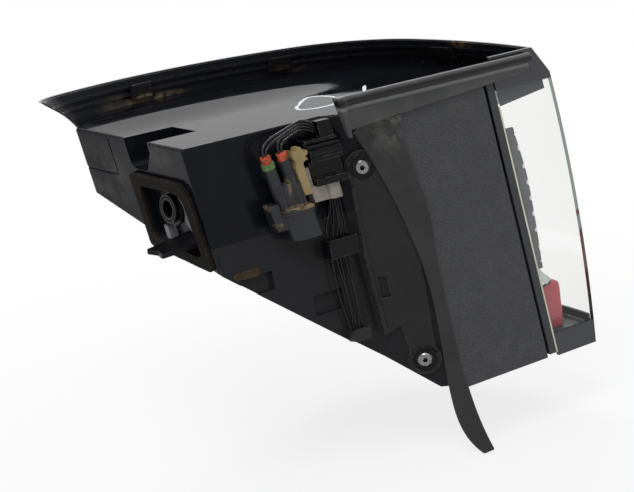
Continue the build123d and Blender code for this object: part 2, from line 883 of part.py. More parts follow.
# Round-cornered socket for the car's own plug, open at the bottom, with a rim and a side latch
socket_low = plug_low - socket_drop
socket_right = socket_left + socket_width
socket_front = plug_back - socket_depth
socket_outer = raked_box(
    socket_left, socket_right, socket_front, plug_back, socket_low, plug_low - rim_height / 2, lean=plug_lean
)
socket_rim = raked_box(
    socket_left - rim_reach, socket_right + rim_reach, socket_front - rim_reach, plug_back,
    plug_low - rim_height, plug_low, lean=plug_lean,
)
socket_inner = raked_box(
    socket_left + socket_wall, socket_right - socket_wall, socket_front + socket_wall,
    plug_back - socket_wall, socket_low - 1, plug_low - socket_roof, lean=plug_lean,
)
latch_box = raked_box(
    latch_x, latch_x + latch_width, plug_middle - latch_depth / 2, plug_middle + latch_depth / 2,
    latch_low, latch_high, lean=plug_lean,
)
latch_arm = raked_box(
    latch_x + latch_width - 1, socket_left + 1, plug_middle - latch_depth / 2,
    plug_middle + latch_depth / 2, latch_low, plug_low - rim_height, lean=plug_lean,
)
plug_axis = Axis((0, 0, 0), lean_up)
with BuildPart() as rim_ring:
    add(socket_rim)
    fillet(faces().sort_by(Axis.Y)[0].edges().filter_by(plug_axis), radius=socket_round + rim_reach)
with BuildPart() as plug_socket:
    add(socket_outer)
    fillet(faces().sort_by(Axis.Y)[0].edges().filter_by(plug_axis), radius=socket_round)
    add(rim_ring.part)
    add(socket_inner, mode=Mode.SUBTRACT)
    add(latch_arm)
    add(latch_box)
plug_socket.part.label = "plug_socket"
export_step(plug_socket.part, "parts/plug_socket.step")

terminal_step = (socket_width - 2 * socket_wall) / (terminal_count + 1)
roof_z = plug_low - socket_roof
with BuildPart() as socket_terminals:
    with BuildSketch(Plane.XY.offset(roof_z)):
        with Locations(
            ((socket_left + socket_right) / 2 - plug_lean * roof_z, (socket_front + plug_back) / 2)
        ):
            with GridLocations(terminal_step, 3 * socket_wall, terminal_count, 2):
                Rectangle(terminal_width, terminal_width)
    extrude(amount=terminal_length * sqrt(1 + plug_lean**2), dir=(plug_lean, 0, -1))
socket_terminals.part.label = "socket_terminals"
export_step(socket_terminals.part, "parts/socket_terminals.step")

# Leads from the seals up along the deck's edge and down to the module's header
header_middle = (back_y - header_depth + plug_back) / 2
upper_leads = []
for count in range(upper_lead_count):
    post = count // 2
    top_z = seal_feet[post] + seal_rise
    drop = count * 2.9
    post_top = Vector(column_x[post] - plug_lean * top_z, plug_middle, top_z)
    start = post_top + lean_across * (count % 2 - 0.5) * lead_step
    end_z = lead_end_z - drop
    upper_leads.append(
        lead(
            [
                start + lean_up * 2 * fit,
                start + lean_up * (8 - 4 * (count % 2)),
                (lead_bend_x, plug_middle + 2, lead_bend_z - drop),
                (lead_peak_x, header_middle - 1, lead_peak_z - drop),
                (header_x - rake * end_z - lead_diameter / 2, header_middle, end_z),
            ],
            lead_diameter,
        )
    )
upper_wires = Compound(children=upper_leads, label="upper_wires")
export_step(upper_wires, "parts/upper_wires.step")

# Leads from the pale plug, fanning out under the strap and drawn together at the grommet
lower_leads = []
for count in range(lower_lead_count):
    start_x = white_middle + lead_diameter + count * 2.8 - rake * white_low
    strap_x = strap_start_x + strap_leg + lead_diameter + count * 5
    end_x = strap_end_x - lead_diameter - (lower_lead_count - count) * lead_step
    lower_leads.append(
        lead(
            [
                (start_x, plug_back - 6, white_low),
                (start_x, plug_back - 6, white_low - 12),
                fold_plane.from_local_coords((strap_x, strap_high - fold_z + 2, strap_gap / 2)),
                fold_plane.from_local_coords((strap_x, strap_low - fold_z - 6, strap_gap / 2)),
                fold_plane.from_local_coords((end_x, grommet_y + 2 * fit, grommet_height / 2)),
            ],
            lead_diameter,
        )
    )
lower_wires = Compound(children=lower_leads, label="lower_wires")
export_step(lower_wires, "parts/lower_wires.step")

with BuildPart() as wire_grommet:
    with BuildSketch(fold_plane):
        with Locations((strap_end_x - 10, grommet_y - grommet_drop / 2)):
            RectangleRounded(20, grommet_drop, 2)
    extrude(amount=grommet_height)
wire_grommet.part.label = "wire_grommet"
export_step(wire_grommet.part, "parts/wire_grommet.step")

with BuildPart() as wire_strap:
    with BuildSketch(fold_plane):
        with Locations(((strap_start_x + strap_end_x) / 2, (strap_low + strap_high) / 2 - fold_z)):
            Rectangle(strap_end_x - strap_start_x, strap_high - strap_low)
    extrude(amount=strap_gap + strap_thick)
    with BuildSketch(fold_plane):
        with Locations(((strap_start_x + strap_end_x) / 2, (strap_low + strap_high) / 2 - fold_z)):
            Rectangle(strap_end_x - strap_start_x - 2 * strap_leg, strap_high - strap_low)
    extrude(amount=strap_gap, mode=Mode.SUBTRACT)
wire_strap.part.label = "wire_strap"
export_step(wire_strap.part, "parts/wire_strap.step")

# Lining behind the lens: a curved back wall, a header, a sill and a notched strip at the jamb end
strip_y = panel_back_y + wall
bezel_inner = bezel_inset + bezel_wall
bezel_back = layer(bezel_inset, bezel_inner, sill_z, header_z, strip_y + bezel_start_y)
bezel_top = layer(bezel_edge, bezel_inner, header_z, header_z + bezel_wall, strip_y)
bezel_sill = layer(bezel_edge, bezel_inner, sill_z, sill_z + bezel_wall, strip_y)
bezel_kerb = layer(bezel_edge, bezel_edge + bezel_wall, sill_z, sill_z + sill_kerb, strip_y)
bezel_limit = lamp_volume(bezel_edge)
spine = raked_box(
    flange_x, flange_x + strip_spine, strip_y, strip_y + bezel_wall, sill_z, header_z + bezel_wall
)
strip_step = (strip_top - strip_low) / (len(strip_reach) - 1)
strip_edge = [
    (flange_x + reach - rake * (strip_top - strip_step * count), strip_top - strip_step * count)
    for count, reach in enumerate(strip_reach)
]
with BuildPart() as strip:
    with BuildSketch(Plane.XZ.offset(-strip_y)):
        with BuildLine():
            Polyline(
                (flange_x - rake * strip_top, strip_top), *strip_edge,
                (flange_x - rake * strip_low, strip_low), close=True,
            )
        make_face()
    extrude(amount=-bezel_wall)
with BuildPart() as cheek:
    with BuildSketch(Plane.XZ.offset(-strip_y)):
        with BuildLine():
            Polyline(
                (flange_x, cheek_front_z), (cheek_rear_x, header_z), (far, header_z),
                (far, deck_z - wall - fit), (flange_x, deck_z - wall - fit), close=True,
            )
        make_face()
    extrude(amount=-bezel_wall)
bezel_reach = raked_box(front_corner_x + 2 * wall, far, -far, far, sill_z, deck_z)
post_limit = lamp_volume(bezel_inset + bezel_wall / 2)
post_points = [(y, z) for y in plate_y for z in plate_z]
with BuildPart() as bezel_posts:
    with BuildSketch(Plane.YZ.offset(reflector_x)):
        with Locations(*post_points):
            Circle(post_radius)
    extrude(amount=far)
    add(post_limit, mode=Mode.INTERSECT)
with BuildPart() as inner_bezel:
    add(bezel_back)
    add(bezel_top)
    add(bezel_sill)
    add(bezel_kerb)
    add(spine)
    add(strip.part)
    add(cheek.part)
    add(bezel_limit, mode=Mode.INTERSECT)
    add(bezel_reach, mode=Mode.INTERSECT)
    split(bisect_by=keel(wall + fit))
    add(bezel_posts.part)
    # Notches along the strip's free edge
    with BuildSketch(Plane.XZ.offset(-strip_y)):
        for count in range(notch_count):
            level = notch_top_z - count * notch_pitch
            share = (strip_top - level) / (strip_top - strip_low)
            with Locations(Edge.make_line(strip_edge[0], strip_edge[-1]) @ share):
                Circle(notch_radius)
    extrude(amount=-bezel_wall - 1, mode=Mode.SUBTRACT)
    # Openings over the reflector's bowls
    with BuildSketch(Plane.YZ.offset(reflector_x)):
        with Locations(*[(dish_y, level) for level in dish_levels]):
            Circle(dish_radius)
    extrude(amount=far, mode=Mode.SUBTRACT)
inner_bezel.part.label = "inner_bezel"
export_step(inner_bezel.part, "parts/inner_bezel.step")

# Light guide along the lining
guide_y = strip_y + guide_margin
guide_skin = layer(
    bezel_inset - guide_depth, bezel_inset - fit, guide_z - guide_width / 2,
    guide_z + guide_width / 2, guide_y,
)
guide_reach = raked_box(guide_front_x, far, -far, far, sill_z, deck_z)
with BuildPart() as light_guide:
    add(guide_skin)
    add(guide_reach, mode=Mode.INTERSECT)
light_guide.part.label = "light_guide"
export_step(light_guide.part, "parts/light_guide.step")

# Hollow red bar on the sill and the bright trim that tapers in above it
bar_y = strip_y + bezel_wall + guide_margin
bar_skin = layer(bar_front, bezel_inset - fit, sill_z + bezel_wall, bar_high, bar_y)
bar_space = layer(
    bar_front + lens_wall, bezel_inset - fit - lens_wall, sill_z + bezel_wall + lens_wall,
    bar_high - lens_wall, bar_y + lens_wall,
)
bar_reach = raked_box(guide_front_x, far, -far, far, foot_z, deck_z)
with BuildPart() as red_lens_bar:
    add(bar_skin)
    add(bar_space, mode=Mode.SUBTRACT)
    add(bar_reach, mode=Mode.INTERSECT)
    split(bisect_by=keel(wall + fit))
red_lens_bar.part.label = "red_lens_bar"
export_step(red_lens_bar.part, "parts/red_lens_bar.step")

trim_run = (belly_run + foot_run) / 2
trim_foot = plan(bar_high, trim_front, trim_run, belly_bulge)
trim_crown = plan(trim_high, bezel_inset - guide_depth, trim_run - 2, belly_bulge)
trim_back = lamp_volume(bezel_inset - fit)
with BuildPart() as chrome_trim:
    loft(sections=[trim_foot, trim_crown], ruled=True)
    add(trim_back, mode=Mode.SUBTRACT)
    add(bar_reach, mode=Mode.INTERSECT)
    split(bisect_by=outboard_of(bar_y))
    split(bisect_by=keel(wall + fit))
chrome_trim.part.label = "chrome_trim"
export_step(chrome_trim.part, "parts/chrome_trim.step")

# Reflector plate with two bowls, standing off the circuit board
plate_rear_x = reflector_x - reflector_wall
board_x = reflector_x - dish_depth - reflector_wall
with BuildPart() as reflector:
    with BuildSketch(Plane.YZ.offset(plate_rear_x)):
        with Locations((sum(plate_y) / 2, sum(plate_z) / 2)):
            Rectangle(plate_y[1] - plate_y[0] + 4 * post_radius, plate_z[1] - plate_z[0] + 4 * post_radius)
    extrude(amount=reflector_wall)
    with BuildSketch(Plane.YZ.offset(plate_rear_x)):
        with Locations(*post_points):
            Circle(post_radius)
    extrude(amount=board_x - plate_rear_x)
    for level in dish_levels:
        with BuildSketch(Plane.XZ.offset(-dish_y)) as bowl:
            with BuildLine():
                Polyline((reflector_x, level), (reflector_x, level + dish_radius))
                Polyline(
                    (reflector_x, level + dish_radius), (reflector_x - dish_depth, level + emitter_radius),
                    (reflector_x - dish_depth, level), (reflector_x, level),
                )
            make_face()
        bowl_axis = Axis((0, dish_y, level), (1, 0, 0))
        with BuildSketch(Plane.YZ.offset(plate_rear_x)):
            with Locations((dish_y, level)):
                Circle(dish_radius + reflector_wall)
        extrude(amount=board_x - plate_rear_x + reflector_wall)
        revolve(bowl.sketch, axis=bowl_axis, mode=Mode.SUBTRACT)
        with BuildSketch(Plane.YZ.offset(board_x)):
            with Locations((dish_y, level)):
                Circle(emitter_radius + 1)
        extrude(amount=dish_depth, mode=Mode.SUBTRACT)
reflector.part.label = "reflector"
export_step(reflector.part, "parts/reflector.step")

with BuildPart() as led_board:
    with BuildSketch(Plane.YZ.offset(board_x)):
        with Locations((sum(plate_y) / 2, sum(plate_z) / 2)):
            Rectangle(plate_y[1] - plate_y[0] + 3 * post_radius, plate_z[1] - plate_z[0] + 3 * post_radius)
    extrude(amount=-board_thick)
led_board.part.label = "led_board"
export_step(led_board.part, "parts/led_board.step")

with BuildPart() as led_emitters:
    with BuildSketch(Plane.YZ.offset(board_x)):
        with Locations(*[(dish_y, level) for level in dish_levels]):
            Circle(emitter_radius)
    extrude(amount=reflector_wall)
    chamfer(faces().group_by(Axis.X)[-1].edges(), length=emitter_radius / 3)
led_emitters.part.label = "led_emitters"
export_step(led_emitters.part, "parts/led_emitters.step")

# Side reflector behind the wing of the lens
reflex_skin = layer(frame_outer, frame_outer + reflex_thick, reflex_low, reflex_high, 0)
reflex_reach = raked_box(reflex_front_x, reflex_rear_x, 0, far, foot_z, deck_z)
with BuildPart() as side_reflex:
    add(reflex_skin)
    add(reflex_reach, mode=Mode.INTERSECT)
side_reflex.part.label = "side_reflex"
export_step(side_reflex.part, "parts/side_reflex.step")
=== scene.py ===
import bpy
import math
from mathutils import Matrix, Vector


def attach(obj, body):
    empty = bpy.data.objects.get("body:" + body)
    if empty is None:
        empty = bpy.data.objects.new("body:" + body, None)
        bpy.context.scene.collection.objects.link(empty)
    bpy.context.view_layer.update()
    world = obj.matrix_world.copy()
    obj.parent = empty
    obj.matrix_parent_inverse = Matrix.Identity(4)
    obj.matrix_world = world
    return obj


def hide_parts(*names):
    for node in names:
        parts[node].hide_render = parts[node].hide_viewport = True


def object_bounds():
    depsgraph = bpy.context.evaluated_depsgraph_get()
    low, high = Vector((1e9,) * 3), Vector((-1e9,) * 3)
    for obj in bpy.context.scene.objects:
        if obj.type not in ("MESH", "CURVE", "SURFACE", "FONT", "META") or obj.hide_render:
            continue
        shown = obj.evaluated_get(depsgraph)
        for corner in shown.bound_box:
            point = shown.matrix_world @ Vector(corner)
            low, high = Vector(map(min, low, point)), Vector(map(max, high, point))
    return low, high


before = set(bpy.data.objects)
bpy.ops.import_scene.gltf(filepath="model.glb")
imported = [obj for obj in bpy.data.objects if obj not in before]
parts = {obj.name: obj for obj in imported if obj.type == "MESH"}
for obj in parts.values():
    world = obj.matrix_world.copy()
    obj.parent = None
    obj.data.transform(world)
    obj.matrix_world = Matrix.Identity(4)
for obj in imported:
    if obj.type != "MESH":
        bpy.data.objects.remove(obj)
cadBox = [list(corner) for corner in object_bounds()]
scene = bpy.context.scene
scene.view_settings.view_transform = "Standard"
print("frame loaded:", len(parts), "parts")

mm = 0.001  # the lamp's places and sizes are in mm, the studio's in metres


def rgb(red, green, blue):
    return (red, green, blue, 1)


def grey(tone):
    return rgb(tone, tone, tone)


# camera, set where the lamp was photographed from
shot = {
    "place": (-826, -1415, 387),  # mm, from the locator's mouth
    "azimuth": -35, "elevation": 15, "roll": 6,  # degrees
    "focalPixels": 1800, "imageWidth": 634, "sensor": 36,
    "clip": (0.05, 50),  # metres
}


def aimCamera(look):
    azimuth, elevation, roll = (math.radians(look[key]) for key in ("azimuth", "elevation", "roll"))
    right = Vector((math.cos(azimuth), math.sin(azimuth), 0))
    level = math.cos(elevation)
    ahead = Vector((-math.sin(azimuth) * level, math.cos(azimuth) * level, -math.sin(elevation)))
    up = right.cross(ahead)
    across = right * math.cos(roll) - up * math.sin(roll)
    upward = right * math.sin(roll) + up * math.cos(roll)
    data = bpy.data.cameras.new("shotCamera")
    data.sensor_fit = "HORIZONTAL"
    data.sensor_width = look["sensor"]
    data.lens = look["focalPixels"] * look["sensor"] / look["imageWidth"]
    data.clip_start, data.clip_end = look["clip"]
    camera = bpy.data.objects.new("shotCamera", data)
    turn = Matrix((across, upward, -ahead)).transposed().to_4x4()
    camera.matrix_world = Matrix.Translation(Vector(look["place"]) * mm) @ turn
    scene.collection.objects.link(camera)
    scene.camera = camera


aimCamera(shot)
print("camera placed")


class Wiring:
    # a cleared node tree and the few nodes that every look is wired from
    def __init__(self, owner, outputKind):
        owner.use_nodes = True
        self.tree = owner.node_tree
        self.tree.nodes.clear()
        self.surface = self.add(outputKind).inputs["Surface"]

    def add(self, kind, operation=None, **sockets):
        node = self.tree.nodes.new(kind)
        if operation:
            node.operation = operation
        for key, value in sockets.items():
            node.inputs[key].default_value = value
        return node

    def join(self, fromSocket, toSocket):
        self.tree.links.new(fromSocket, toSocket)

    def feed(self, socket, source):
        # numbers and colours stand on the socket itself, the rest is wired to it
        if isinstance(source, (int, float, tuple)):
            socket.default_value = source
        else:
            self.join(source, socket)

    def show(self, node):
        self.shown = node
        self.join(node.outputs[0], self.surface)

    def spread(self, source, low, high, toLow=0, toHigh=1):
        # smooth step from one value to another
        node = self.add("ShaderNodeMapRange")
        node.interpolation_type = "SMOOTHSTEP"
        for key, value in (("From Min", low), ("From Max", high), ("To Min", toLow), ("To Max", toHigh)):
            node.inputs[key].default_value = value
        self.join(source, node.inputs["Value"])
        return node.outputs["Result"]

    def combine(self, operation, first, second):
        node = self.add("ShaderNodeMath", operation)
        self.feed(node.inputs[0], first)
        self.feed(node.inputs[1], second)
        return node.outputs[0]

    def times(self, first, second):
        return self.combine("MULTIPLY", first, second)

    def vector(self, operation, *sources):
        node = self.add("ShaderNodeVectorMath", operation)
        for socket, source in zip(node.inputs, sources):
            self.feed(socket, source)
        return node.outputs["Value" if operation in ("LENGTH", "DISTANCE") else "Vector"]

    def blend(self, share, first, second):
        node = self.add("ShaderNodeMix")
        node.data_type = "RGBA"
        sockets = (node.inputs[0], node.inputs[6], node.inputs[7])  # the share and both colours
        for socket, source in zip(sockets, (share, first, second)):
            self.feed(socket, source)
        return node.outputs[2]

    def blendShaders(self, share, first, second):
        node = self.add("ShaderNodeMixShader")
        for socket, source in zip(node.inputs, (share, first.outputs[0], second.outputs[0])):
            self.join(source, socket)
        return node

    def seenDirectly(self):
        # one for rays that look at the surround straight, mirrored or through something clear
        path = self.add("ShaderNodeLightPath").outputs
        mirrored = self.combine("MAXIMUM", path["Is Camera Ray"], path["Is Glossy Ray"])
        return self.combine("MAXIMUM", mirrored, path["Is Transmission Ray"])


# studio: even white surround, soft light from above the camera's left shoulder
studio = {
    "skyLight": 0.52, "skyColour": rgb(0.96, 0.98, 1.0), "white": grey(1), "whiteGlow": 1,
    "lamps": {
        "key": {"place": (-1.0, -1.1, 1.9), "size": 1.2, "power": 34},
        "back": {"place": (0.9, 1.3, 1.5), "size": 1.0, "power": 16},
    },
    "lampAim": (0.17, 0, -0.05),
    "floorColour": grey(0.82), "floorHalf": 1.6, "floorGap": 0.0005,
    "glowNear": 0.80, "glowFrom": 0.34, "glowTo": 0.95,  # the floor fades to white with distance
}


def buildWorld(look):
    scene.world = bpy.data.worlds.new("studioSky")
    wiring = Wiring(scene.world, "ShaderNodeOutputWorld")
    sky = wiring.add("ShaderNodeBackground", Color=look["skyColour"], Strength=look["skyLight"])
    white = wiring.add("ShaderNodeBackground", Color=look["white"], Strength=look["whiteGlow"])
    wiring.show(wiring.blendShaders(wiring.seenDirectly(), sky, white))


def addSoftbox(name, look, aim):
    data = bpy.data.lights.new(name, "AREA")
    data.shape = "DISK"
    data.size = look["size"]
    data.energy = look["power"]
    lamp = bpy.data.objects.new(name, data)
    lamp.location = look["place"]
    lamp.rotation_euler = (Vector(aim) - lamp.location).to_track_quat("-Z", "Y").to_euler()
    scene.collection.objects.link(lamp)


def addFloor(look):
    half = look["floorHalf"]
    mesh = bpy.data.meshes.new("paleFloor")
    corners = [(-half, -half, 0), (half, -half, 0), (half, half, 0), (-half, half, 0)]
    mesh.from_pydata(corners, [], [(0, 1, 2, 3)])
    floor = bpy.data.objects.new("paleFloor", mesh)
    middle = [(low + high) / 2 for low, high in zip(*cadBox)]
    floor.location = (middle[0], middle[1], cadBox[0][2] - look["floorGap"])
    scene.collection.objects.link(floor)
    mat = bpy.data.materials.new("paleFloor")
    wiring = Wiring(mat, "ShaderNodeOutputMaterial")
    matte = wiring.add("ShaderNodeBsdfDiffuse", Color=look["floorColour"])
    glow = wiring.add("ShaderNodeEmission", Color=look["white"], Strength=look["whiteGlow"])
    away = wiring.vector("LENGTH", wiring.add("ShaderNodeTexCoord").outputs["Object"])
    fade = wiring.spread(away, look["glowFrom"], look["glowTo"], look["glowNear"], 1)
    wiring.show(wiring.blendShaders(wiring.times(wiring.seenDirectly(), fade), matte, glow))
    mesh.materials.append(mat)


buildWorld(studio)
for lampName, lampLook in studio["lamps"].items():
    addSoftbox(lampName, lampLook, studio["lampAim"])
addFloor(studio)
print("studio lit")


class Finish(Wiring):
    # one material and its shader, wired by place on the object
    def __init__(self, name):
        self.mat = bpy.data.materials.new(name)
        super().__init__(self.mat, "ShaderNodeOutputMaterial")
        self.coord = self.add("ShaderNodeTexCoord").outputs["Object"]
        self.shader = self.add("ShaderNodeBsdfPrincipled")
        self.show(self.shader)

    def apply(self, key, source):
        self.feed(self.shader.inputs[key], source)

    def noise(self, scale, detail, coarse=0.55):
        node = self.add("ShaderNodeTexNoise", Scale=scale, Detail=detail, Roughness=coarse)
        self.join(self.coord, node.inputs["Vector"])
        return node.outputs["Fac"]

    def cells(self, scale):
        node = self.add("ShaderNodeTexVoronoi", Scale=scale)
        node.feature = "DISTANCE_TO_EDGE"
        self.join(self.coord, node.inputs["Vector"])
        return node.outputs["Distance"]

    def geometry(self, name):
        return self.add("ShaderNodeNewGeometry").outputs[name]

    def axis(self, name, source=None):
        node = self.add("ShaderNodeSeparateXYZ")
        self.join(source or self.coord, node.inputs[0])
        return node.outputs[name]

    def facingUp(self):
        return self.axis("Z", self.geometry("Normal"))

    def along(self, axisName, low, high, toLow=0, toHigh=1):
        # smooth step between two places on an axis
        return self.spread(self.axis(axisName), low * mm, high * mm, toLow, toHigh)

    def near(self, place, reach, soft):
        # one inside an egg-shaped region round a place, falling off towards its edge
        away = self.vector("SUBTRACT", self.coord, tuple(value * mm for value in place))
        share = self.vector("MULTIPLY", away, tuple(1 / (value * mm) for value in reach))
        return self.spread(self.vector("LENGTH", share), 1 - soft, 1, 1, 0)

    def rounded(self, radius, samples):
        node = self.add("ShaderNodeBevel", Radius=radius * mm)
        node.samples = samples
        return node.outputs[0]

    def bump(self, height, depth, under=None):
        node = self.add("ShaderNodeBump", Strength=1, Distance=depth * mm)
        self.join(height, node.inputs["Height"])
        if under:
            self.join(under, node.inputs["Normal"])
        return node.outputs[0]


# what moulded finishes share where a piece's own look says nothing else, noise scales per metre
commonMould = {
    "specular": 0.3, "roundSamples": 4, "sagDetail": 2,
    "cloudScale": 22, "cloudDetail": 5, "cloudSpan": (0.32, 0.68), "cloudLift": 1.25,
    "roughScale": 60, "roughDetail": 6, "roughSpan": (0.25, 0.75),
    "grainScale": 900, "grainDetail": 3, "grainDepth": 0.03,
    "pebbleSpan": (0, 0.28), "fineTimes": 2.6, "fineShare": 0.5,  # leather grain
    "topSpan": (0.8, 0.97),  # where a face counts as looking up
    "dustScale": 34, "dustDetail": 8, "dustCoarse": 0.65, "dustFrom": 0.5, "dustFull": 0.78,
    "dustColour": rgb(0.30, 0.26, 0.20), "settleSpan": (0.05, 0.9), "settleSide": 0.25,
    "wearScale": 160, "wearDetail": 6, "wearSpan": (0.35, 0.7), "wearAndGlintColour": grey(0.22),
    "wearWidth": 1.2, "edgeSpan": (0.04, 0.35), "edgeSamples": 6,
}
commonStainAndPaintedLight = {
    "soft": 0.5, "rough": 0.3, "fade": 1,
    "brokenDetail": 7, "brokenCoarse": 0.65, "brokenFrom": 0.38, "brokenFull": 0.62,
}


def stainAndPaintedLight(share, colour, **more):
    # a coloured patch round a place with at and reach, or on all that lies below a height: dirt on most
    # pieces, painted light and shade on the top strip's bead
    return {**commonStainAndPaintedLight, "share": share, "colour": colour, **more}


def stainAndPaintedLightShare(finish, spot):
    if "below" in spot:
        share = finish.along("Z", spot["below"] - spot["fade"], spot["below"], 1, 0)
    else:
        share = finish.near(spot["at"], spot["reach"], spot["soft"])
    if "broken" in spot:
        ragged = finish.noise(spot["broken"], spot["brokenDetail"], spot["brokenCoarse"])
        share = finish.times(share, finish.spread(ragged, spot["brokenFrom"], spot["brokenFull"]))
    return finish.times(share, spot["share"])


def dustShare(finish, look):
    # patches, thickest on what looks up
    patches = finish.noise(look["dustScale"], look["dustDetail"], look["dustCoarse"])
    settled = finish.spread(finish.facingUp(), *look["settleSpan"], look["settleSide"], 1)
    share = finish.times(finish.spread(patches, look["dustFrom"], look["dustFull"]), settled)
    return finish.times(share, look["dust"])


def wearAndGlintShare(finish, look):
    # where the surface turns sharply within a width
    turned = finish.rounded(look["wearWidth"], look["edgeSamples"])
    edge = finish.spread(finish.vector("DISTANCE", turned, finish.geometry("Normal")), *look["edgeSpan"])
    rubbed = finish.spread(finish.noise(look["wearScale"], look["wearDetail"]), *look["wearSpan"])
    return finish.times(finish.times(edge, rubbed), look["wearAndGlint"])


def backingShare(finish, look):
    # beyond a leaning line and within the strip's ends
    x, z = look["from"]
    line = x + look["lean"] * z
    leaning = finish.combine("ADD", finish.axis("X"), finish.times(finish.axis("Z"), look["lean"]))
    share = finish.spread(leaning, line * mm, (line + look["fade"]) * mm)
    for axisName, low, high, ends in look["within"]:
        share = finish.times(share, finish.along(axisName, low, high, *ends))
    return share


def mouldNormal(finish, look, pebbles):
    # each unevenness lies over the one before
    normal = None
    if "round" in look:  # moulded edges are never sharp
        normal = finish.rounded(look["round"], look["roundSamples"])
    if "crown" in look:  # the deck rises a little towards the outboard end
        normal = finish.bump(finish.along("Y", *look["crownSpan"]), look["crown"], normal)
    if pebbles:
        fine = finish.noise(look["grainScale"] * look["fineTimes"], look["grainDetail"])
        grain = finish.combine("ADD", pebbles, finish.times(fine, look["fineShare"]))
    else:
        grain = finish.noise(look["grainScale"], look["grainDetail"])
    normal = finish.bump(grain, look["grainDepth"], normal)
    if "sag" in look:  # slow waviness of a moulded wall
        normal = finish.bump(finish.noise(look["sagScale"], look["sagDetail"]), look["sag"], normal)
    return normal


def mould(name, ownLook):
    # plastic, rubber, foam or paint: a cloudy tone, then what lies on it or has rubbed it, and painted
    # highlights, glints and shade where a look asks for them
    look = {**commonMould, **ownLook}
    finish = Finish(name)
    clouds = finish.spread(finish.noise(look["cloudScale"], look["cloudDetail"]), *look["cloudSpan"])
    paler = rgb(*(value * look["cloudLift"] for value in look["colour"][:3]))
    tone = finish.blend(clouds, look["colour"], look.get("colourTwo", paler))
    dull = finish.noise(look["roughScale"], look["roughDetail"])
    rough = finish.spread(dull, *look["roughSpan"], *look["rough"])
    pebbles = None
    if "pitColour" in look:  # leather grain, darker in its pits
        pebbles = finish.spread(finish.cells(look["grainScale"]), *look["pebbleSpan"])
        tone = finish.blend(pebbles, look["pitColour"], tone)
    if "topGloss" in look:  # faces that look up are smoother
        smoother = finish.spread(finish.facingUp(), *look["topSpan"], 0, -look["topGloss"])
        rough = finish.combine("ADD", rough, smoother)
    if "dust" in look:
        tone = finish.blend(dustShare(finish, look), tone, look["dustColour"])
    for spot in look.get("stainsAndPaintedLight", []):
        share = stainAndPaintedLightShare(finish, spot)
        tone = finish.blend(share, tone, spot["colour"])
        rough = finish.combine("ADD", rough, finish.times(share, spot["rough"]))
    if "backing" in look:
        tone = finish.blend(backingShare(finish, look["backing"]), tone, look["backing"]["colour"])
    if "ridgeHighlight" in look:  # paler along soft edges: a painted highlight
        proud = finish.spread(finish.geometry("Pointiness"), *look["ridgeHighlightSpan"])
        tone = finish.blend(finish.times(proud, look["ridgeHighlight"]), tone, look["ridgeHighlightColour"])
    # paler edges: rubbing on most parts, a painted glint on the driver module and the screw collars, a
    # painted highlight on the foam
    if "wearAndGlint" in look:
        tone = finish.blend(wearAndGlintShare(finish, look), tone, look["wearAndGlintColour"])
    finish.apply("Base Color", tone)
    finish.apply("Roughness", rough)
    finish.apply("Normal", mouldNormal(finish, look, pebbles))
    finish.apply("Specular IOR Level", look["specular"])
    return finish


def dress(partName, finish):
    mesh = parts[partName].data
    mesh.materials.clear()
    mesh.materials.append(finish.mat)


def dressAll(looks, make, suffix):
    for partName, look in looks.items():
        dress(partName, make(partName + suffix, look))


tanDirt = rgb(0.30, 0.21, 0.13)
greyDust = rgb(0.17, 0.165, 0.155)

